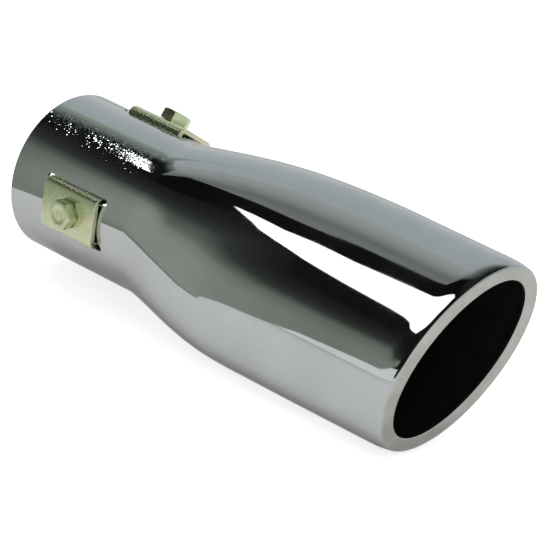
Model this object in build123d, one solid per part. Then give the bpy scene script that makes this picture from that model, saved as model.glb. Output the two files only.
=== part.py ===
# Clamp-on exhaust tip: a pressed steel tube with a round sleeve at the inlet and a slanted oval outlet with a
# turned-in edge. Three U-shaped saddles pass through slots in the sleeve, and a bolt in a welded nut draws each one
# in until its two legs grip the tail pipe. The tube's axis is X, from the inlet end at x = 0 to the outlet at +X.
# Sizes are in millimetres, +Z is up, and the tip lies as it comes to rest on a floor.
import os
from math import cos, radians, sin, sqrt, tan

from build123d import *

# Sleeve
SLEEVE_OD = 60.0
SLEEVE_LENGTH = 55.7
WALL = 1.2

# Oval outlet, measured outside the sheet
OVAL_MAJOR = 80.0
OVAL_MINOR = 49.0
OVAL_OFFSET = 1.2
FORM_LENGTH = 101.0
TIP_LENGTH = 203.9
SLANT_ANGLE = 12.3

# Share of the forming done at each share of the forming length: long side, short side, flat sides
FORM_SHARES = (
    (0.20, 0.37, 0.50, 0.19),
    (0.41, 0.69, 0.90, 0.60),
    (0.67, 0.91, 0.985, 0.93),
    (0.88, 0.985, 1.0, 0.995),
)

# Turned-in edge of the outlet
LIP_WIDTH = 6.5
LIP_BEND = 2.4
LIP_SOFTENING = 0.4

# Clamp saddles and the slots they slide in
CLAMP_COUNT = 3
CLAMP_X = 33.6
SADDLE_LENGTH = 27.6
SADDLE_WIDTH = 19.4
SADDLE_SHEET = 2.0
SADDLE_BEND = 3.0
SADDLE_DEPTH = 18.4
SADDLE_GAP = 0.15
SLOT_SIDE_GAP = 0.4
SLOT_END_GAP = 2.4

# Bolts and welded nuts
BOLT_SHANK_D = 5.8
BOLT_LENGTH = 16.0
BOLT_TIP_CHAMFER = 0.8
HEAD_ACROSS_FLATS = 10.0
HEAD_HEIGHT = 4.5
HEAD_FACE_HEIGHT = 0.4
HEAD_CROWN_ANGLE = 30.0
SADDLE_HOLE_GAP = 0.5
SLEEVE_HOLE_GAP = 0.6
NUT_ACROSS_FLATS = 10.0
NUT_HEIGHT = 5.0
NUT_CHAMFER = 0.7
THREAD_GAP = 0.05

# Turn about the tube's axis that rests the tip on one bolt head and the short side of its oval
LIE_TURN = -34.0

os.makedirs("parts", exist_ok=True)

sleeve_r = SLEEVE_OD / 2
inner_r = sleeve_r - WALL
form_end = SLEEVE_LENGTH + FORM_LENGTH
slant = tan(radians(SLANT_ANGLE))
long_reach = OVAL_MAJOR / 2 + OVAL_OFFSET
short_reach = OVAL_MAJOR / 2 - OVAL_OFFSET
flat_reach = OVAL_MINOR / 2
bolt_r = BOLT_SHANK_D / 2
lie = Rot(X=LIE_TURN)


# Cross-section of the tube at x, drawn inside the outer surface by inset
def oval(x, long_side, short_side, flat_side, inset):
    plane = Plane(origin=(x, 0, (long_side - short_side) / 2), x_dir=(0, 0, 1), z_dir=(1, 0, 0))
    return plane * Ellipse((long_side + short_side) / 2 - inset, flat_side - inset)


# Straight oval column from x to past the outlet
def column(x, inset):
    reach = TIP_LENGTH + OVAL_MAJOR * slant - x
    return extrude(oval(x, long_reach, short_reach, flat_reach, inset), reach, dir=(1, 0, 0))


# The whole tube as a filled shape
def tube_blank(inset):
    sections = [oval(SLEEVE_LENGTH, sleeve_r, sleeve_r, sleeve_r, inset)]
    for share, long_part, short_part, flat_part in FORM_SHARES:
        sections.append(oval(
            SLEEVE_LENGTH + share * FORM_LENGTH,
            sleeve_r + long_part * (long_reach - sleeve_r),
            sleeve_r + short_part * (short_reach - sleeve_r),
            sleeve_r + flat_part * (flat_reach - sleeve_r),
            inset,
        ))
    sections.append(oval(form_end, long_reach, short_reach, flat_reach, inset))
    sleeve = extrude(oval(0, sleeve_r, sleeve_r, sleeve_r, inset), SLEEVE_LENGTH, dir=(1, 0, 0))
    return sleeve + loft(sections) + column(form_end, inset)


# Plane of the slanted outlet, moved back into the tube
def rim_plane(back):
    normal = Vector(cos(radians(SLANT_ANGLE)), 0, -sin(radians(SLANT_ANGLE)))
    return Plane(origin=Vector(TIP_LENGTH, 0, OVAL_OFFSET) - normal * back, z_dir=normal)


# The tube filled out to a surface inset from its outside and closed by the bend at the outlet
def closed_tube(inset):
    body = split(tube_blank(inset), bisect_by=rim_plane(inset), keep=Keep.BOTTOM)
    return fillet(body.faces().sort_by(Axis.X)[-1].edges(), LIP_BEND - inset)


# Sheet of the tube, with the mouth cut out of its turned-in edge
shell = closed_tube(0) - closed_tube(WALL) - column(form_end, LIP_WIDTH)
rim_edges = shell.faces().sort_by(Axis.X)[-1].edges()
shell = fillet(rim_edges.sort_by(SortBy.LENGTH)[0], LIP_SOFTENING)

# Places along each clamp's own outward direction
saddle_top = sleeve_r + SADDLE_GAP + SADDLE_SHEET
leg_place = (SADDLE_WIDTH - SADDLE_SHEET) / 2
nut_top = sqrt(inner_r**2 - (NUT_ACROSS_FLATS / 2) ** 2)

# Slots for the legs and a hole for the bolt, cut through the sleeve at each clamp
slot_width = SADDLE_SHEET + 2 * SLOT_SIDE_GAP
slot = SlotOverall(SADDLE_LENGTH + 2 * SLOT_END_GAP, slot_width)
cuts = extrude(Pos(0, leg_place) * slot, sleeve_r)
cuts += extrude(Pos(0, -leg_place) * slot, sleeve_r)
cuts += extrude(Circle(bolt_r + SLEEVE_HOLE_GAP), sleeve_r)
for clamp in range(CLAMP_COUNT):
    shell -= Rot(X=360 / CLAMP_COUNT * clamp) * Pos(CLAMP_X, 0, inner_r / 2) * cuts
export_step(lie * shell, "parts/tip_shell.step")

# Saddle: a strip folded to a U, with the bolt's hole through its bridge
outer_u = Pos(0, saddle_top - SADDLE_DEPTH / 2) * Rectangle(SADDLE_WIDTH, SADDLE_DEPTH)
outer_u = fillet(outer_u.vertices().group_by(Axis.Y)[-1], SADDLE_BEND)
inner_depth = SADDLE_DEPTH - SADDLE_SHEET
inner_u = Pos(0, saddle_top - SADDLE_DEPTH + inner_depth / 2) * Rectangle(SADDLE_WIDTH - 2 * SADDLE_SHEET, inner_depth)
inner_u = fillet(inner_u.vertices().group_by(Axis.Y)[-1], SADDLE_BEND - SADDLE_SHEET)
saddle = extrude(Plane.YZ * (outer_u - inner_u), SADDLE_LENGTH / 2, both=True)
saddle -= Pos(0, 0, saddle_top) * Cylinder(bolt_r + SADDLE_HOLE_GAP, 3 * SADDLE_SHEET)

# Bolt: hex head with a crowned top and a bearing face, over a plain shank
head_r = HEAD_ACROSS_FLATS / 2
corner_r = head_r / cos(radians(30))
crown = (corner_r - head_r) * tan(radians(HEAD_CROWN_ANGLE))
hexagon = extrude(RegularPolygon(head_r, 6, major_radius=False), HEAD_HEIGHT)
bottom = (Align.CENTER, Align.CENTER, Align.MIN)
top = (Align.CENTER, Align.CENTER, Align.MAX)
crowned = Cylinder(corner_r, HEAD_HEIGHT - crown, align=bottom)
crowned += Pos(0, 0, HEAD_HEIGHT - crown) * Cone(corner_r, head_r, crown, align=bottom)
head = Pos(0, 0, saddle_top) * (hexagon & crowned)
head -= Pos(0, 0, saddle_top) * (Cylinder(2 * corner_r, HEAD_FACE_HEIGHT, align=bottom) -
                                 Cylinder(head_r, HEAD_FACE_HEIGHT, align=bottom))
shank = Cylinder(bolt_r, BOLT_LENGTH, align=top)
shank = chamfer(shank.edges().group_by(Axis.Z)[0], BOLT_TIP_CHAMFER)
bolt = head + Pos(0, 0, saddle_top) * shank

# Nut: square, welded by its two long edges to the inside of the sleeve
nut = Pos(0, 0, nut_top) * Box(NUT_ACROSS_FLATS, NUT_ACROSS_FLATS, NUT_HEIGHT, align=top)
nut = chamfer(nut.edges().group_by(Axis.Z)[0], NUT_CHAMFER)
nut -= Pos(0, 0, nut_top) * Cylinder(bolt_r + THREAD_GAP, 3 * NUT_HEIGHT)

# One saddle, bolt and nut at each clamp, evenly round the sleeve from the oval's long side
for clamp in range(CLAMP_COUNT):
    place = lie * Rot(X=360 / CLAMP_COUNT * clamp) * Pos(CLAMP_X, 0, 0)
    export_step(place * saddle, f"parts/clamp_saddle_{clamp + 1}.step")
    export_step(place * bolt, f"parts/clamp_bolt_{clamp + 1}.step")
    export_step(place * nut, f"parts/weld_nut_{clamp + 1}.step")
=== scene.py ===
from math import cos, hypot, pi, radians, sin, sqrt, tan

import bmesh
import bpy
import numpy as np
from mathutils import Matrix, Quaternion, Vector


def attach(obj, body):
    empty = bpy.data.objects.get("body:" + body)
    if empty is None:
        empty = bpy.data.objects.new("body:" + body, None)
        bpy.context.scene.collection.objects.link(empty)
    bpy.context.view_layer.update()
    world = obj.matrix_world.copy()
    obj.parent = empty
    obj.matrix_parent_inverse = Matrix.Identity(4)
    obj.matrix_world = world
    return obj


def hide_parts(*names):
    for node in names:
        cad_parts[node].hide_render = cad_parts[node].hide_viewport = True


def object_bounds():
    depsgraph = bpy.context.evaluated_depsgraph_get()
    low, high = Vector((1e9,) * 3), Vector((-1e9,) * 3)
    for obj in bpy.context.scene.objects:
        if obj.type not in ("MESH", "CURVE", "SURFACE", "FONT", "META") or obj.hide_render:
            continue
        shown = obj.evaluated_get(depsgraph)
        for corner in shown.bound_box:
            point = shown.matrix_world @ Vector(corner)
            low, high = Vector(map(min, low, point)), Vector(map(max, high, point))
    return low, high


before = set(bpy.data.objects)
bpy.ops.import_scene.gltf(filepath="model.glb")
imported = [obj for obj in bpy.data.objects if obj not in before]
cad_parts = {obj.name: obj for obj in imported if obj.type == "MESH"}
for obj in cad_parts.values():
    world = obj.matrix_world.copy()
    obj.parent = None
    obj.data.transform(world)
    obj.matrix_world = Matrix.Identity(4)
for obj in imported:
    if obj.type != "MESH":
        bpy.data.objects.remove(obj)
cad_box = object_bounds()

# Tip shell
# One steel tube, pressed from a round sleeve to an oval, cut on a slant with its edge turned in, and chromed.
# Two slots and a bolt hole are punched through the sleeve at each of the three clamps.
MM = 0.001
LIE = Matrix.Rotation(radians(-34.0), 4, "X")
SLEEVE_R = 30.0
SLEEVE_END, START_LEAN = 55.7, 6.5
WALL, END_ROUND = 1.2, 0.25
LONG_SIDE, SHORT_SIDE, FLAT_SIDE = 41.2, 38.8, 24.5
FORM_END = 156.7
TIP_LENGTH = 203.68
SLANT = radians(12.3)
LIP_RUN, LIP_LEAN, LIP_BEND, LIP_WIDTH, LIP_SOFTENING = 8.5, radians(11.2), 1.1, 6.5, 0.4
CREASE = 0.003
AROUND = np.linspace(0.0, 2 * pi, 192, endpoint=False)
STATIONS = np.array([0.0, 0.20, 0.41, 0.67, 0.88, 1.0])
LONG_SHARES = (0.0, 0.37, 0.69, 0.91, 0.985, 1.0)
SHORT_SHARES = (0.0, 0.50, 0.90, 0.985, 1.0, 1.0)
FLAT_SHARES = (0.0, 0.458, 0.813, 0.985, 0.997, 1.0)
LONG_SLOPE, SHORT_SLOPE, FLAT_SLOPE = 1.845, 1.69, 1.28


def press_curve(shares, start):
    # smooth curve through the pressing stations, with its slope off the sleeve; level where the oval starts
    values = np.array(shares)
    step = np.diff(STATIONS)
    rows = np.zeros((6, 6))
    right = np.zeros(6)
    rows[0, :2] = 2 * step[0], step[0]
    right[0] = 6 * ((values[1] - values[0]) / step[0] - start)
    for i in range(1, 5):
        rows[i, i - 1:i + 2] = step[i - 1], 2 * (step[i - 1] + step[i]), step[i]
        right[i] = 6 * ((values[i + 1] - values[i]) / step[i] - (values[i] - values[i - 1]) / step[i - 1])
    rows[5, 4:] = step[4], 2 * step[4]
    right[5] = -6 * (values[5] - values[4]) / step[4]
    bends = np.linalg.solve(rows, right)

    def share_at(s):
        i = min(max(int(np.searchsorted(STATIONS, s)) - 1, 0), 4)
        a, b = (STATIONS[i + 1] - s) / step[i], (s - STATIONS[i]) / step[i]
        curved = ((a ** 3 - a) * bends[i] + (b ** 3 - b) * bends[i + 1]) * step[i] ** 2 / 6
        return a * values[i] + b * values[i + 1] + curved

    def share(s):
        if s <= -CREASE:
            return 0.0
        if s < CREASE:
            return start * (s + CREASE) ** 2 / (4 * CREASE)
        return share_at(min(s, 1.0))
    return share


long_share = press_curve(LONG_SHARES, LONG_SLOPE)
short_share = press_curve(SHORT_SHARES, SHORT_SLOPE)
flat_share = press_curve(FLAT_SHARES, FLAT_SLOPE)
FORM_START = SLEEVE_END + START_LEAN * np.sin(AROUND) ** 2


def tube_section(s, inset):
    # half length, half width and centre height of the tube's outline at a share s of the pressed length
    long_side = SLEEVE_R + long_share(s) * (LONG_SIDE - SLEEVE_R)
    short_side = SLEEVE_R + short_share(s) * (SHORT_SIDE - SLEEVE_R)
    flat_side = SLEEVE_R + flat_share(s) * (FLAT_SIDE - SLEEVE_R)
    return (long_side + short_side) / 2 - inset, flat_side - inset, (long_side - short_side) / 2


def tube_ring(s, inset, x=None):
    # ring of the tube at a share s of the pressed length, which starts later on the flat sides
    half_long, half_wide, middle = tube_section(s, inset)
    if x is None:
        x = FORM_START + s * (FORM_END - FORM_START)
    return np.stack([x, half_wide * np.sin(AROUND), middle + half_long * np.cos(AROUND)], axis=1)


def sleeve_ring(t, inset):
    # ring of the sleeve at a share t of its length, from the inlet end to the start of the pressed zone
    start = FORM_START - CREASE * (FORM_END - FORM_START)
    return tube_ring(-1.0, inset, END_ROUND + t * (start - END_ROUND))


def rim_x(z, behind):
    # place along the tube of the slanted outlet plane, moved back by behind
    return TIP_LENGTH + ((z - (LONG_SIDE - SHORT_SIDE) / 2) * sin(SLANT) - behind) / cos(SLANT)


def rolled_edge(inset, steps, outward=1):
    # rings off the oval wall at inset; a step is the distance behind the outlet plane and in from the wall
    half_long, half_wide, middle = tube_section(1.0, inset)
    facing = np.stack([np.zeros_like(AROUND), np.sin(AROUND) / half_wide, np.cos(AROUND) / half_long], axis=1)
    facing *= outward / np.linalg.norm(facing, axis=1)[:, None]
    rings = []
    for behind, drop in steps:
        ring = tube_ring(1.0, inset) - drop * facing
        ring[:, 0] = rim_x(ring[:, 2], behind)
        rings.append(ring)
    return rings


def between(first, last, steps):
    return [first + (last - first) * k / steps for k in range(1, steps)]


lip_start = LIP_BEND * (1 - sin(LIP_LEAN))
lip_drop = (LIP_RUN - lip_start) * tan(LIP_LEAN) / 2
lean_in = [(LIP_RUN + (lip_start - LIP_RUN) * t, lip_drop * t * t) for t in np.linspace(0.0, 1.0, 11)]
turn_in = [(LIP_BEND * (1 - sin(turn)), lip_drop + LIP_BEND * (cos(LIP_LEAN) - cos(turn)))
           for turn in np.linspace(LIP_LEAN, pi / 2, 11)[1:]]
soft_turn = [(LIP_SOFTENING * (1 - sin(turn)), LIP_SOFTENING * (1 - cos(turn)))
             for turn in np.linspace(0.0, pi / 2, 5)]
outer_bend = rolled_edge(0.0, lean_in + turn_in)
mouth_bend = rolled_edge(LIP_WIDTH, soft_turn, outward=-1)[::-1]
inner_bend = rolled_edge(WALL, [(behind + WALL / 2, drop) for behind, drop in lean_in[::2]])[::-1]
mouth_back = mouth_bend[-1].copy()
mouth_back[:, 0] = rim_x(mouth_back[:, 2], WALL)
outside = [sleeve_ring(t, 0.0) for t in np.linspace(0.0, 1.0, 26)]
outside += [tube_ring(s, 0.0) for s in np.linspace(-CREASE, CREASE, 7)[1:]]
outside += [tube_ring(s, 0.0) for s in np.linspace(CREASE, 1.0, 101)[1:]]
outside += between(outside[-1], outer_bend[0], 12) + outer_bend
band = between(outer_bend[-1], mouth_bend[0], 4) + mouth_bend
inside = [mouth_back] + inner_bend
inside += between(inner_bend[-1], tube_ring(1.0, WALL), 8)
inside += [tube_ring(s, WALL) for s in np.linspace(1.0, -CREASE, 48)]
inside += [sleeve_ring(t, WALL) for t in np.linspace(1.0, 0.0, 20)[1:]]
end_face = [tube_ring(-1.0, inset, np.zeros_like(AROUND)) for inset in (WALL - END_ROUND, END_ROUND)]


def ring_mesh(name, rings, closed=False, finishes=None):
    # skin over a run of rings with as many points each; finishes gives the material slot of each strip
    mesh = bpy.data.meshes.new(name)
    count, per = len(rings), len(rings[0])
    faces, slots = [], []
    for i in range(count if closed else count - 1):
        j = (i + 1) % count
        for k in range(per):
            n = (k + 1) % per
            faces.append((i * per + k, i * per + n, j * per + n, j * per + k))
            slots.append(finishes[i] if finishes else 0)
    if not closed:
        faces.append(tuple(range(per)))
        faces.append(tuple((count - 1) * per + k for k in reversed(range(per))))
        slots += [slots[0], slots[-1]]
    mesh.from_pydata([tuple(p) for p in np.concatenate(rings) * MM], [], faces)
    skin = bmesh.new()
    skin.from_mesh(mesh)
    bmesh.ops.recalc_face_normals(skin, faces=skin.faces)
    skin.to_mesh(mesh)
    skin.free()
    mesh.polygons.foreach_set("material_index", slots)
    mesh.shade_smooth()
    piece = bpy.data.objects.new(name, mesh)
    bpy.context.scene.collection.objects.link(piece)
    return piece


def set_modified(piece):
    # keeps the shape that the piece's modifiers give, as its own mesh
    mesh = bpy.data.meshes.new_from_object(piece.evaluated_get(bpy.context.evaluated_depsgraph_get()))
    piece.modifiers.clear()
    piece.data = mesh
    return mesh


def finish_nodes(name, base, metallic, roughness):
    # new material with its shader, and short ways to add and join nodes
    material = bpy.data.materials.new(name)
    material.use_nodes = True
    tree = material.node_tree
    shader = tree.nodes["Principled BSDF"]
    shader.inputs["Base Color"].default_value = (*base, 1.0)
    shader.inputs["Metallic"].default_value = metallic
    shader.inputs["Roughness"].default_value = roughness
    place = tree.nodes.new("ShaderNodeTexCoord").outputs["Object"]
    return material, tree, shader, place


def grain(tree, place, scale, detail=2.0, roughness=0.5):
    # noise over the piece's own place, in features per metre
    noise = tree.nodes.new("ShaderNodeTexNoise")
    noise.inputs["Scale"].default_value = scale
    noise.inputs["Detail"].default_value = detail
    noise.inputs["Roughness"].default_value = roughness
    tree.links.new(place, noise.inputs["Vector"])
    return noise.outputs["Fac"]


def ramp(tree, value, stops):
    node = tree.nodes.new("ShaderNodeValToRGB")
    marks = node.color_ramp.elements
    while len(marks) < len(stops):
        marks.new(0.5)
    for mark, (at, colour) in zip(marks, stops):
        mark.position = at
        mark.color = (*colour, 1.0) if isinstance(colour, tuple) else (colour, colour, colour, 1.0)
    tree.links.new(value, node.inputs["Fac"])
    return node.outputs["Color"]


def spread(tree, value, low, high, to_low, to_high):
    node = tree.nodes.new("ShaderNodeMapRange")
    node.interpolation_type = "SMOOTHSTEP"
    for socket, number in zip(("From Min", "From Max", "To Min", "To Max"), (low, high, to_low, to_high)):
        node.inputs[socket].default_value = number
    tree.links.new(value, node.inputs["Value"])
    return node.outputs["Result"]


def relief(tree, height, depth):
    # fine bumps of a depth in metres
    node = tree.nodes.new("ShaderNodeBump")
    node.inputs["Strength"].default_value = 1.0
    node.inputs["Distance"].default_value = depth
    tree.links.new(height, node.inputs["Height"])
    return node.outputs["Normal"]


def along(tree, place, way):
    # distance of a point along a fixed direction
    node = tree.nodes.new("ShaderNodeVectorMath")
    node.operation = "DOT_PRODUCT"
    node.inputs[1].default_value = way
    tree.links.new(place, node.inputs[0])
    return node.outputs["Value"]


def times(tree, first, second):
    node = tree.nodes.new("ShaderNodeMath")
    node.operation = "MULTIPLY"
    tree.links.new(first, node.inputs[0])
    tree.links.new(second, node.inputs[1])
    return node.outputs["Value"]


chrome, tree, shader, place = finish_nodes("bright_chrome", (0.52, 0.53, 0.535), 1.0, 0.05)
shader.inputs["Specular Tint"].default_value = (0.72, 0.72, 0.72, 1.0)
smudge = grain(tree, place, 45.0, 4.0, 0.6)
tint = ramp(tree, smudge, ((0.35, (0.50, 0.515, 0.515)), (0.65, (0.53, 0.545, 0.55))))
tree.links.new(tint, shader.inputs["Base Color"])
tree.links.new(spread(tree, smudge, 0.35, 0.75, 0.03, 0.065), shader.inputs["Roughness"])
ripple = relief(tree, grain(tree, place, 70.0, 1.0), 0.000008)

# a sandy patch on the sleeve: small facets of the plating, each tilted its own way
sleeve_only = spread(tree, along(tree, place, (1.0, 0.0, 0.0)), 0.054, 0.057, 1.0, 0.0)
to_patch = along(tree, place, (0.0, -0.545, 0.839))
sandy = times(tree, sleeve_only, spread(tree, to_patch, 0.0288, 0.0297, 0.0, 1.0))
cells = tree.nodes.new("ShaderNodeTexVoronoi")
cells.inputs["Scale"].default_value = 2700.0
tree.links.new(place, cells.inputs["Vector"])
tilt = tree.nodes.new("ShaderNodeVectorMath")
tilt.operation = "SUBTRACT"
tilt.inputs[1].default_value = (0.5, 0.5, 0.5)
tree.links.new(cells.outputs["Color"], tilt.inputs[0])
steep = tree.nodes.new("ShaderNodeVectorMath")
steep.operation = "SCALE"
tree.links.new(tilt.outputs["Vector"], steep.inputs[0])
cell_weight = spread(tree, along(tree, cells.outputs["Color"], (0.0, 0.0, 1.0)), 0.25, 1.0, 0.0, 0.2)
tree.links.new(times(tree, sandy, cell_weight), steep.inputs["Scale"])
grainy = tree.nodes.new("ShaderNodeVectorMath")
tree.links.new(ripple, grainy.inputs[0])
tree.links.new(steep.outputs["Vector"], grainy.inputs[1])
level = tree.nodes.new("ShaderNodeVectorMath")
level.operation = "NORMALIZE"
tree.links.new(grainy.outputs["Vector"], level.inputs[0])
tree.links.new(level.outputs["Vector"], shader.inputs["Normal"])

edge_chrome, tree, shader, place = finish_nodes("satin_chrome_edge", (0.47, 0.475, 0.44), 1.0, 0.14)
smudge = grain(tree, place, 120.0, 4.0, 0.6)
tint = ramp(tree, smudge, ((0.3, (0.43, 0.435, 0.395)), (0.7, (0.53, 0.535, 0.505))))
tree.links.new(tint, shader.inputs["Base Color"])
tree.links.new(spread(tree, smudge, 0.3, 0.7, 0.12, 0.2), shader.inputs["Roughness"])
tree.links.new(relief(tree, grain(tree, place, 800.0, 2.0), 0.000016), shader.inputs["Normal"])

# the inside is painted almost black with a weak shine, as painted shade for the deep tube that light hardly
# reaches; a faint mottle varies its tone
painted_shade_inside, tree, shader, place = finish_nodes("painted_shade_inside", (0.01, 0.01, 0.01), 0.0, 0.8)
painted_shade_mottle = grain(tree, place, 160.0, 5.0, 0.65)
tree.links.new(ramp(tree, painted_shade_mottle, ((0.3, 0.006), (0.7, 0.018))), shader.inputs["Base Color"])
tree.links.new(spread(tree, painted_shade_mottle, 0.3, 0.7, 0.7, 0.95), shader.inputs["Roughness"])
shader.inputs["Specular IOR Level"].default_value = 0.15
tree.links.new(relief(tree, painted_shade_mottle, 0.0002), shader.inputs["Normal"])

# bright outside, satin on the turned-in edge, and the inside painted near black as painted shade
strips = [0] * (len(outside) - 7) + [1] * (len(band) + 6) + [2] * len(inside) + [0] * (len(end_face) + 1)
shell = ring_mesh("chrome_tip_shell", outside + band + inside + end_face, closed=True, finishes=strips)
for material in (chrome, edge_chrome, painted_shade_inside):
    shell.data.materials.append(material)

CLAMP_X = 33.6
CLAMPS = (1, 2, 3)


def clamp_place(number):
    # frame of a clamp on the sleeve: its z is the bolt's outward direction
    turn = Matrix.Rotation(radians(120.0 * (number - 1)), 4, "X")
    return LIE @ turn @ Matrix.Translation((CLAMP_X * MM, 0.0, 0.0))


SLOT_LENGTH, SLOT_WIDTH, LEG_PLACE, HOLE_R = 32.4, 2.8, 8.7, 3.5
PUNCH_FROM, PUNCH_TO = 16.0, 42.0
punches = []
for number in CLAMPS:
    turns = np.linspace(-pi / 2, pi / 2, 13)
    half, end_r = SLOT_LENGTH / 2 - SLOT_WIDTH / 2, SLOT_WIDTH / 2
    slot_x = np.concatenate([half + end_r * np.cos(turns), -half - end_r * np.cos(turns)])
    slot_y = np.concatenate([end_r * np.sin(turns), -end_r * np.sin(turns)])
    hole = np.linspace(0.0, 2 * pi, 40, endpoint=False)
    outlines = [(slot_x, slot_y + LEG_PLACE), (slot_x, slot_y - LEG_PLACE)]
    outlines += [(HOLE_R * np.cos(hole), HOLE_R * np.sin(hole))]
    for x, y in outlines:
        rings = [np.stack([x, y, np.full_like(x, z)], axis=1) for z in (PUNCH_FROM, PUNCH_TO)]
        punch = ring_mesh("punch", rings)
        punch.data.transform(Matrix.Rotation(radians(120.0 * (number - 1)), 4, "X") @
                             Matrix.Translation((CLAMP_X * MM, 0.0, 0.0)))
        cut = shell.modifiers.new("punched", "BOOLEAN")
        cut.object, cut.solver, cut.operation = punch, "EXACT", "DIFFERENCE"
        punches.append(punch)
shell_mesh = set_modified(shell)
for punch in punches:
    bpy.data.objects.remove(punch)
shell_mesh.shade_smooth()
shell_mesh.set_sharp_from_angle(angle=radians(32))

# the sleeve stays evenly round where the slots cut its faces
ROUND_TO = 54.0
sleeve_normals = []
for poly in shell_mesh.polygons:
    points = [shell_mesh.vertices[v].co for v in poly.vertices]
    reach = [hypot(p.y, p.z) / MM for p in points]
    on_sleeve = max(p.x for p in points) < ROUND_TO * MM
    outer = on_sleeve and all(abs(r - SLEEVE_R) < 0.03 for r in reach)
    inner = on_sleeve and all(abs(r - SLEEVE_R + WALL) < 0.03 for r in reach)
    for p in points:
        way = Vector((0.0, p.y, p.z)).normalized()
        sleeve_normals.append(way if outer else (-way if inner else Vector((0.0, 0.0, 0.0))))
shell_mesh.normals_split_custom_set(sleeve_normals)
shell_mesh.transform(LIE)
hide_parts("tip_shell")
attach(shell, "tube")

# Welded nuts
# Three square steel nuts inside the sleeve, tapped for the bolts and left unplated.
# Each is held by a short weld bead along the two edges that touch the sleeve.
NUT_ACROSS, NUT_HEIGHT, NUT_CHAMFER = 10.0, 5.0, 0.7
THREAD_R = 2.95
NUT_SOFTENING, NUT_CORNER, BORE_CHAMFER = 0.2, 0.4, 0.5
BEAD_REACH, BEAD_R = 4.6, 0.75
NUT_TOP = sqrt((SLEEVE_R - WALL) ** 2 - (NUT_ACROSS / 2) ** 2)

weld_steel, tree, shader, place = finish_nodes("bare_steel", (0.30, 0.30, 0.30), 1.0, 0.45)
scale = grain(tree, place, 260.0, 5.0, 0.6)
tint = ramp(tree, scale, ((0.3, (0.16, 0.155, 0.15)), (0.5, (0.30, 0.295, 0.29)), (0.62, (0.25, 0.21, 0.17)),
                          (0.75, (0.34, 0.34, 0.35))))
tree.links.new(tint, shader.inputs["Base Color"])
tree.links.new(spread(tree, scale, 0.3, 0.7, 0.35, 0.6), shader.inputs["Roughness"])
tree.links.new(relief(tree, scale, 0.00008), shader.inputs["Normal"])


def square_ring(half, corner, z):
    # square outline with slightly rounded corners, 8 points each
    points = []
    for k in range(4):
        middle = pi / 4 + k * pi / 2
        for turn in np.linspace(middle - pi / 4, middle + pi / 4, 8):
            points.append(((half - corner) * (1 if cos(middle) > 0 else -1) + corner * cos(turn),
                           (half - corner) * (1 if sin(middle) > 0 else -1) + corner * sin(turn), z))
    return np.array(points)


def round_ring(r, z, count=32):
    # starts where the square outline starts, so that the two join without a twist
    turns = np.linspace(0.0, 2 * pi, count, endpoint=False)
    return np.stack([r * np.cos(turns), r * np.sin(turns), np.full_like(turns, z)], axis=1)


for number in CLAMPS:
    low = NUT_TOP - NUT_HEIGHT
    half = NUT_ACROSS / 2
    rings = [round_ring(THREAD_R, NUT_TOP)]
    rings += [square_ring(half - NUT_SOFTENING, NUT_CORNER - NUT_SOFTENING / 2, NUT_TOP)]
    rings += [square_ring(half, NUT_CORNER, z) for z in (NUT_TOP - NUT_SOFTENING, low + NUT_CHAMFER)]
    rings += [square_ring(half - NUT_CHAMFER, NUT_CORNER, low)]
    rings += [round_ring(THREAD_R + BORE_CHAMFER, low), round_ring(THREAD_R, low + BORE_CHAMFER)]
    rings += [round_ring(THREAD_R, z) for z in np.linspace(low + 2 * BORE_CHAMFER, NUT_TOP - BORE_CHAMFER, 6)]
    nut = ring_mesh(f"welded_nut_{number}", rings, closed=True)
    beads = []
    for side in (-1, 1):
        runs = []
        for x in np.linspace(-BEAD_REACH, BEAD_REACH, 60):
            # the bead swells and narrows as it was laid, and tapers at both ends
            ripple_r = BEAD_R + 0.12 * sin(x * 7.5 + side) + 0.05 * sin(x * 19.0 + number)
            ripple_r *= min(1.0, 0.25 + (4.75 - abs(x)) * 1.2)
            turns = np.linspace(0.0, 2 * pi, 12, endpoint=False)
            y = side * (half + 0.25) + ripple_r * np.cos(turns)
            z = NUT_TOP - BEAD_R + 0.85 * ripple_r * np.sin(turns)
            runs.append(np.stack([np.full_like(y, x), y, z], axis=1))
        beads.append(ring_mesh("bead", runs))
    whole = bmesh.new()
    whole.from_mesh(nut.data)
    for bead in beads:
        whole.from_mesh(bead.data)
        bpy.data.objects.remove(bead)
    whole.to_mesh(nut.data)
    whole.free()
    nut.data.shade_smooth()
    nut.data.set_sharp_from_angle(angle=radians(30))
    nut.data.transform(clamp_place(number))
    nut.data.materials.append(weld_steel)
    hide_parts(f"weld_nut_{number}")
    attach(nut, "tube")

# Clamp saddles
# Steel strips folded to a U and plated with yellow passivated zinc. The bridge lies over the sleeve and the
# two legs go through its slots to grip the tail pipe; the bolt passes through a punched hole in the bridge.
SADDLE_TOP, SADDLE_LENGTH, SADDLE_WIDTH, SADDLE_DEPTH = 32.15, 27.6, 19.4, 18.4
SADDLE_SHEET, SADDLE_BEND, SADDLE_HOLE_R, EDGE_WEAR = 2.0, 3.0, 3.4, 0.35

zinc, tree, shader, place = finish_nodes("yellow_zinc", (0.42, 0.44, 0.27), 1.0, 0.3)
cloud = grain(tree, place, 95.0, 3.0, 0.55)
tint = ramp(tree, cloud, ((0.28, (0.66, 0.57, 0.46)), (0.42, (0.66, 0.65, 0.44)), (0.55, (0.57, 0.64, 0.40)),
                          (0.70, (0.62, 0.65, 0.50))))
tree.links.new(tint, shader.inputs["Base Color"])
rolled = grain(tree, place, 700.0, 3.0, 0.6)
tree.links.new(spread(tree, rolled, 0.3, 0.7, 0.24, 0.34), shader.inputs["Roughness"])
tree.links.new(relief(tree, rolled, 0.0000008), shader.inputs["Normal"])


def bend_arc(y, z, r, start, end):
    turns = np.linspace(start, end, 9)
    return [(y + r * cos(t), z + r * sin(t)) for t in turns]


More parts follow.
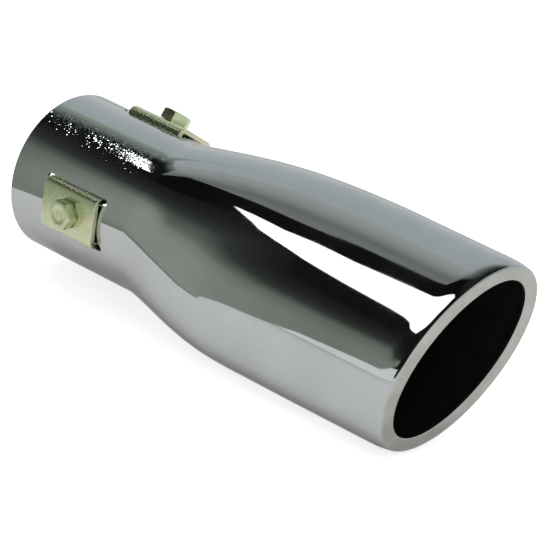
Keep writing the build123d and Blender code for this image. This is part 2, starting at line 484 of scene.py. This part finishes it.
half = SADDLE_WIDTH / 2
low = SADDLE_TOP - SADDLE_DEPTH
fold = SADDLE_TOP - SADDLE_BEND
thin = SADDLE_BEND - SADDLE_SHEET
outline = [(half, low)] + bend_arc(half - SADDLE_BEND, fold, SADDLE_BEND, 0, pi / 2)
outline += bend_arc(-half + SADDLE_BEND, fold, SADDLE_BEND, pi / 2, pi)
outline += [(-half, low), (-half + SADDLE_SHEET, low)]
outline += bend_arc(-half + SADDLE_BEND, fold, thin, pi, pi / 2)
outline += bend_arc(half - SADDLE_BEND, fold, thin, pi / 2, 0) + [(half - SADDLE_SHEET, low)]
for number in CLAMPS:
    rings = [np.array([(x, y, z) for y, z in outline]) for x in (-SADDLE_LENGTH / 2, SADDLE_LENGTH / 2)]
    saddle = ring_mesh(f"zinc_saddle_{number}", rings)
    punch_ends = (SADDLE_TOP - 2 * SADDLE_SHEET, SADDLE_TOP + 2 * SADDLE_SHEET)
    punch = ring_mesh("punch", [round_ring(SADDLE_HOLE_R, z, 40) for z in punch_ends])
    cut = saddle.modifiers.new("punched", "BOOLEAN")
    cut.object, cut.solver, cut.operation = punch, "EXACT", "DIFFERENCE"
    worn = saddle.modifiers.new("sheared edges", "BEVEL")
    worn.width, worn.segments, worn.limit_method, worn.angle_limit = EDGE_WEAR * MM, 3, "ANGLE", radians(40)
    worn.harden_normals = True
    set_modified(saddle)
    bpy.data.objects.remove(punch)
    saddle.data.transform(clamp_place(number))
    saddle.data.materials.clear()
    saddle.data.materials.append(zinc)
    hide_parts(f"clamp_saddle_{number}")
    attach(saddle, f"saddle_{number}")

# Clamp bolts
# Cold-headed hex bolts in yellow zinc: a dished and crowned head over a round bearing face, and a rolled
# right-hand thread of 1 mm pitch that screws into the welded nut.
HEAD_HALF, HEAD_HEIGHT, FACE_HEIGHT = 5.0, 4.5, 0.4
BOLT_R, BOLT_LENGTH, TIP_CHAMFER, PITCH = 2.9, 16.0, 0.8, 1.0
HEX_CORNER, DISH_DEPTH, DISH_R, DISH_RISE, THREAD_DEPTH = 0.35, 0.22, 2.6, 0.9, 0.45
CROWN_SHARE, FACE_SHARE = 0.985, 0.97


def hex_outline():
    # hexagon across its flats with rounded corners, 16 points to a side; corners lie along the tube
    points = []
    reach = (HEAD_HALF - HEX_CORNER) / cos(pi / 6)
    for k in range(6):
        middle = k * pi / 3
        for turn in np.linspace(middle - pi / 6, middle + pi / 6, 8):
            points.append((reach * cos(middle) + HEX_CORNER * cos(turn),
                           reach * sin(middle) + HEX_CORNER * sin(turn)))
        after = middle + pi / 3
        first = np.array(points[-1])
        last = np.array((reach * cos(after) + HEX_CORNER * cos(after - pi / 6),
                         reach * sin(after) + HEX_CORNER * sin(after - pi / 6)))
        points += [tuple(first + (last - first) * j / 9) for j in range(1, 9)]
    return np.array(points)


side = hex_outline()
ways = np.arctan2(side[:, 1], side[:, 0])
spans = np.hypot(side[:, 0], side[:, 1])


def disc_ring(r, z):
    return np.stack([r * np.cos(ways), r * np.sin(ways), np.full_like(ways, z)], axis=1)


def side_ring(z):
    return np.stack([side[:, 0], side[:, 1], np.broadcast_to(z, ways.shape)], axis=1)


# from the dished top over the crown and down the flats to the bearing face and the neck
crown_z = HEAD_HEIGHT - np.maximum(spans - HEAD_HALF * CROWN_SHARE, 0.0) * tan(radians(30))
head = [disc_ring(r, HEAD_HEIGHT - DISH_DEPTH) for r in (0.4, 1.5, DISH_R)]
head += [disc_ring(DISH_R + DISH_RISE * t, HEAD_HEIGHT - DISH_DEPTH * (1 + cos(pi * t)) / 2)
         for t in (0.25, 0.5, 0.75, 1.0)]
head += [disc_ring(r, HEAD_HEIGHT) for r in (3.9, 4.4, 4.8)]
head += [disc_ring(HEAD_HALF * CROWN_SHARE, HEAD_HEIGHT - 0.02)]
crown_edge = side_ring(crown_z)
crown_edge[:, :2] *= CROWN_SHARE
head += [crown_edge, side_ring(crown_z - 0.12)]
head += [side_ring(crown_z + (FACE_HEIGHT + 0.1 - crown_z) * t) for t in (0.3, 0.6, 1.0)]
under = side_ring(FACE_HEIGHT)
under[:, :2] *= 0.99
head += [under]
head += [disc_ring(HEAD_HALF * FACE_SHARE, z) for z in (FACE_HEIGHT, 0.08)]
head += [disc_ring(HEAD_HALF * 0.95, 0.0)]
head += [disc_ring(BOLT_R + 0.25, 0.0), disc_ring(BOLT_R, -0.25)]
# the thread's flanks, with narrow flats at root and crest, run out under the head and at the chamfered tip
for drop in np.linspace(0.3, BOLT_LENGTH, 190):
    turned = (-drop / PITCH - ways / (2 * pi)) % 1.0
    height = np.abs(turned - 0.5) * 2
    crest = np.clip((height - 0.12) / 0.76, 0.0, 1.0)
    fade = min(1.0, max(0.0, (drop - 0.8) / 1.2))
    r = BOLT_R - THREAD_DEPTH * fade * (1 - crest)
    r = np.minimum(r, BOLT_R - TIP_CHAMFER + max(0.0, BOLT_LENGTH - drop))
    head.append(np.stack([r * np.cos(ways), r * np.sin(ways), np.full_like(ways, -drop)], axis=1))
for number in CLAMPS:
    rings = [ring + (0.0, 0.0, SADDLE_TOP) for ring in head]
    bolt = ring_mesh(f"zinc_bolt_{number}", rings)
    bolt.data.set_sharp_from_angle(angle=radians(28))
    bolt.data.transform(clamp_place(number))
    bolt.data.materials.append(zinc)
    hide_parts(f"clamp_bolt_{number}")
    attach(bolt, f"bolt_{number}")

# Floor
# A wide sheet of matt white paper, which the tip lies on and which shows its soft shadow.
# It lies level under the bolt head and the rim that the tip rests on.
FLOOR_HALF = 5.0
floor_z = cad_box[0][2]
floor_mesh = bpy.data.meshes.new("paper_floor")
floor_corners = [(FLOOR_HALF * x, FLOOR_HALF * y, floor_z) for x, y in ((-1, -1), (1, -1), (1, 1), (-1, 1))]
floor_mesh.from_pydata(floor_corners, [], [(0, 1, 2, 3)])
floor = bpy.data.objects.new("paper_floor", floor_mesh)
bpy.context.scene.collection.objects.link(floor)
paper, tree, shader, place = finish_nodes("white_paper", (0.80, 0.80, 0.80), 0.0, 0.9)
shader.inputs["Specular IOR Level"].default_value = 0.0
fibre = grain(tree, place, 40.0, 3.0)
tree.links.new(ramp(tree, fibre, ((0.3, 0.78), (0.7, 0.81))), shader.inputs["Base Color"])


def seen_by(tree, to_camera, to_gloss, otherwise):
    # a strength for each kind of ray: the camera's, mirror and clear ones, and the rest
    rays = tree.nodes.new("ShaderNodeLightPath")
    either = tree.nodes.new("ShaderNodeMath")
    either.operation = "MAXIMUM"
    tree.links.new(rays.outputs["Is Glossy Ray"], either.inputs[0])
    tree.links.new(rays.outputs["Is Transmission Ray"], either.inputs[1])
    gloss = tree.nodes.new("ShaderNodeMapRange")
    gloss.inputs["To Min"].default_value = otherwise
    gloss.inputs["To Max"].default_value = to_gloss
    tree.links.new(either.outputs[0], gloss.inputs["Value"])
    camera = tree.nodes.new("ShaderNodeMapRange")
    camera.inputs["To Max"].default_value = to_camera
    tree.links.new(gloss.outputs["Result"], camera.inputs["To Min"])
    tree.links.new(rays.outputs["Is Camera Ray"], camera.inputs["Value"])
    return camera.outputs["Result"]


shader.inputs["Emission Color"].default_value = (1.0, 1.0, 1.0, 1.0)
tree.links.new(seen_by(tree, 0.7, 0.19, 0.0), shader.inputs["Emission Strength"])
floor_mesh.materials.append(paper)

# Studio
# A pale room for soft light from all round and a lamp overhead. The chrome also mirrors a few screens:
# black flags, a grey wall and a dark ceiling far off, and nearer by a flag to the left, a tube lamp,
# a pointed soft lamp and a grey board.
world = bpy.data.worlds.new("pale_room")
bpy.context.scene.world = world
world.use_nodes = True
tree = world.node_tree
background = tree.nodes["Background"]
upward = along(tree, tree.nodes.new("ShaderNodeTexCoord").outputs["Generated"], (0.0, 0.0, 1.0))
walls = ramp(tree, upward, ((0.0, (0.97, 1.0, 1.0)), (0.17, (0.90, 0.94, 0.95)), (0.34, (0.74, 0.79, 0.81)),
                            (0.5, (0.63, 0.69, 0.71)), (0.64, (0.57, 0.63, 0.65)), (0.77, (0.54, 0.59, 0.61)),
                            (1.0, (0.45, 0.47, 0.48))))
plain = tree.nodes.new("ShaderNodeMix")
plain.data_type = "RGBA"
plain.inputs["A"].default_value = (1.0, 1.0, 1.0, 1.0)
tree.links.new(walls, plain.inputs["B"])
mirror_rays = tree.nodes.new("ShaderNodeLightPath")
tree.links.new(mirror_rays.outputs["Is Glossy Ray"], plain.inputs["Factor"])
tree.links.new(plain.outputs["Result"], background.inputs["Color"])
tree.links.new(seen_by(tree, 1.0, 1.0, 0.55), background.inputs["Strength"])

glow = bpy.data.materials.new("screen_glow")
glow.use_nodes = True
tree = glow.node_tree
tree.nodes.clear()
tone = tree.nodes.new("ShaderNodeAttribute")
tone.attribute_name = "tone"
lit = tree.nodes.new("ShaderNodeEmission")
tree.links.new(tone.outputs["Color"], lit.inputs["Color"])
tree.links.new(lit.outputs[0], tree.nodes.new("ShaderNodeOutputMaterial").inputs["Surface"])


def toned_screen(name, points, tones, faces):
    # a screen that only mirrors see, with a tone at each of its points
    mesh = bpy.data.meshes.new(name)
    mesh.from_pydata(points, [], faces)
    colours = mesh.color_attributes.new("tone", "FLOAT_COLOR", "POINT")
    for item, colour in zip(colours.data, tones):
        item.color = (*colour, 1.0)
    mesh.materials.append(glow)
    screen = bpy.data.objects.new(name, mesh)
    bpy.context.scene.collection.objects.link(screen)
    screen.visible_camera = screen.visible_diffuse = screen.visible_shadow = False


TIP_MIDDLE = 0.11


def far_screen(name, rows, distance=15.0, tint=(0.96, 1.0, 0.98), fine=6):
    # rows of (azimuth, elevation, tone) seen from the tip: azimuth 0 is towards -Y and -90 towards -X
    rows = np.array(rows, dtype=float)
    tall, wide = (rows.shape[0] - 1) * fine, (rows.shape[1] - 1) * fine
    points, tones, faces = [], [], []
    for i in range(tall + 1):
        a, u = min(i // fine, rows.shape[0] - 2), i / fine - min(i // fine, rows.shape[0] - 2)
        for j in range(wide + 1):
            b, v = min(j // fine, rows.shape[1] - 2), j / fine - min(j // fine, rows.shape[1] - 2)
            az, el, grey = ((rows[a, b] * (1 - v) + rows[a, b + 1] * v) * (1 - u) +
                            (rows[a + 1, b] * (1 - v) + rows[a + 1, b + 1] * v) * u)
            az, el = radians(az), radians(el)
            points.append((TIP_MIDDLE + distance * sin(az) * cos(el), -distance * cos(az) * cos(el),
                           distance * sin(el)))
            tones.append(tuple(grey * c for c in tint))
            if i < tall and j < wide:
                k = i * (wide + 1) + j
                faces.append((k, k + 1, k + wide + 2, k + wide + 1))
    toned_screen(name, points, tones, faces)


# the front flag is black, with a slanted left edge
flag_rows = []
for el, left, grey in ((8, -71, 0.012), (47, -70.5, 0.009), (51, -73.5, 0.007), (56, -78.5, 0.006),
                       (62, -80, 0.01), (74, -84, 0.3)):
    flag_rows.append([(left, el, grey), (-17, el, grey)])
far_screen("front_flag", flag_rows, tint=(0.95, 1.06, 0.92))
far_screen("rim_flag", [[(-18, el, 0.015), (20, el, 0.02), (27, el, 0.2)] for el in (2, 58)], distance=14)
wall_tones = ((-104, 0.54), (-96, 0.49), (-88, 0.38), (-81, 0.235), (-74, 0.285), (-66, 0.29))
far_screen("upper_wall", [[(az, el, grey) for az, grey in wall_tones] for el in (40, 76)], distance=15.4)


def near_screen(name, corner, across, up, rows, tint):
    # rows of (mm across, mm up, tone) on a flat screen that stands close by
    points, tones, faces = [], [], []
    wide = len(rows[0])
    for i, row in enumerate(rows):
        for j, (a, b, grey) in enumerate(row):
            points.append(tuple((np.array(corner) + a * np.array(across) + b * np.array(up)) * MM))
            tones.append(tuple(grey * c for c in tint))
            if i and j:
                k = i * wide + j
                faces.append((k - wide - 1, k - wide, k, k - 1))
    toned_screen(name, points, tones, faces)


# the left flag hangs beyond the sleeve and fades out to the left
panel_rows = []
for up, shift in ((-60, 50), (1, 0), (31, -25), (44, -36)):
    fade = ((-125, 0.52), (-70, 0.27), (-48, 0.21), (-31, 0.09), (-12, 0.012))
    panel_rows.append([(a + shift, up, grey) for a, grey in fade] + [(115, up, 0.010)])
panel_rows[-1] = [(a, up, grey) for (a, b, grey), up in zip(panel_rows[-1], (30, 33, 36, 40, 42, 46))]
panel_place = ((-207.2, -5.7, 255.2), (-0.035, -0.999, 0.0), (0.694, -0.024, 0.719))
near_screen("left_flag", *panel_place, panel_rows, (0.93, 1.06, 0.95))
end_rows = []
for up, shift in ((40, -67), (68, -18), (90.5, 14)):
    fade = ((-18, 0.27), (-8, 0.21), (0, 0.13), (10, 0.04), (19, 0.012))
    end_rows.append([(a + shift, up, grey) for a, grey in fade] + [(115, up, 0.010)])
near_screen("left_flag_end", *panel_place, end_rows, (0.93, 1.06, 0.95))

# the ceiling is dark above a curved line, and the tube lamp hangs under it
ceiling_line = ((-150, 42, 0.5), (-141, 49, 0.5), (-128, 56.5, 0.5), (-114, 61, 0.48), (-99, 64, 0.42),
                (-86, 63, 0.3), (-79, 62.5, 0.006), (-42, 60, 0.006), (30, 60, 0.006))
far_screen("ceiling_flag", [[(az, edge - 6, grey) for az, edge, grey in ceiling_line],
                            [(az, edge, min(0.16, grey)) for az, edge, grey in ceiling_line],
                            [(az, edge + 5, 0.025) for az, edge, grey in ceiling_line],
                            [(az, 84, 0.02) for az, edge, grey in ceiling_line]], distance=14.5)
near_screen("tube_lamp", (-148, -26, 249), (0.0, 1.0, 0.0), (0.742, 0.04, 0.669),
            [[(-32, up, 7.0), (32, up, 7.0)] for up in (-3.7, 3.7)], (0.97, 0.98, 1.0))

# the soft lamp is a pointed white card that hangs in front of the oval
lamp_shape = ((-32, -10.3), (-27, -6.7), (-19, -2), (-13, 6.7), (-0.5, 18.5), (16, 43), (28, 57), (33, 72),
              (39, 85), (50, 86), (69, 68), (81, 52), (92, 37), (96, 25), (94, 8), (80, 4), (66, 1.5),
              (54, 3), (45, 5), (39, 3.5), (20, -6), (3.3, -12.4), (-8, -14), (-14.8, -14.2),
              (-20, -12.5), (-29.8, -10.8))
lamp_corner = np.array((82.2, -57.9, 84.3))
lamp_across, lamp_up = np.array((0.574, -0.819, 0.0)), np.array((0.527, 0.369, 0.766))
lamp_points = [tuple((lamp_corner + a * lamp_across + b * lamp_up) * MM) for a, b in lamp_shape]
toned_screen("soft_lamp", lamp_points, [(2.3, 2.3, 2.3)] * len(lamp_points), [tuple(range(len(lamp_points)))])

# the grey board stands in front; its top fades to black along a humped line and its foot is cut at a slant
# each entry: place across, height of the top line, tone below it, height of the foot, tone at the foot
board_line = ((-110, -15, 0.31, -105, 0.33), (-85, -5, 0.31, -93, 0.33), (-55, 12, 0.37, -83, 0.31),
              (-30, 24, 0.38, -76, 0.27), (-12, 25, 0.42, -90, 0.27), (-5, 19, 0.42, -103, 0.27),
              (0, 9, 0.42, -105, 0.27), (7, -3, 0.40, -86, 0.34), (15, -10, 0.34, -75, 0.33),
              (40, -5, 0.30, -55, 0.31), (65, 3, 0.30, -46, 0.31), (80, 0, 0.30, -43, 0.31),
              (100, -11, 0.29, -36, 0.29), (130, -20, 0.25, -22, 0.25))


def fade_stretch(across):
    # the fade is drawn out towards the board's left end
    return 1.3 + 0.0075 * max(0.0, 12.0 - across)


board_rows = []
for step, grey in ((26, 0.015), (17, 0.024), (10, 0.038), (5, 0.06), (0, 0.14), (-4, 0.215)):
    board_rows.append([(at, max(top + step * fade_stretch(at), foot + 12 * fade_stretch(at)), grey)
                       for at, top, full, foot, low in board_line])
for step, share in ((-8, 0.78), (-15, 0.93), (-22, 1.0)):
    board_rows.append([(at, max(top + step * fade_stretch(at), foot + 12 * fade_stretch(at)), full * share)
                       for at, top, full, foot, low in board_line])
board_rows.append([(at, foot + 11 * fade_stretch(at), full) for at, top, full, foot, low in board_line])
board_rows.append([(at, foot, low) for at, top, full, foot, low in board_line])
board_place = ((35.8, -107.1, 53.6), (0.788, -0.616, 0.0), (0.26, 0.333, 0.906))
near_screen("grey_board", *board_place, board_rows, (0.95, 1.06, 0.93))

# the lamp overhead lights the floor and the zinc and isn't mirrored
lamp = bpy.data.lights.new("overhead_lamp", "AREA")
lamp.shape, lamp.size, lamp.energy = "DISK", 1.1, 9.0
lamp_place = bpy.data.objects.new("overhead_lamp", lamp)
lamp_place.location = (0.1, -0.1, 1.6)
lamp_place.visible_glossy = False
bpy.context.scene.collection.objects.link(lamp_place)

# Camera
# Set where the photograph was taken from: in front of the outlet's side and above it, with a long lens.
# It is turned a little about its own axis, as the photograph's was, and everything is in focus.
camera = bpy.data.objects.new("camera", bpy.data.cameras.new("camera"))
camera.location = (1.32282, -1.23867, 0.75029)
look = Vector((0.1113, -0.0005, -0.0009)) - camera.location
camera.rotation_mode = "QUATERNION"
camera.rotation_quaternion = look.to_track_quat("-Z", "Y") @ Quaternion((0.0, 0.0, 1.0), radians(5.184))
camera.data.sensor_width, camera.data.lens = 36.0, 343.38
camera.data.dof.use_dof = False
bpy.context.scene.collection.objects.link(camera)
bpy.context.scene.camera = camera
bpy.context.scene.view_settings.view_transform = "Standard"
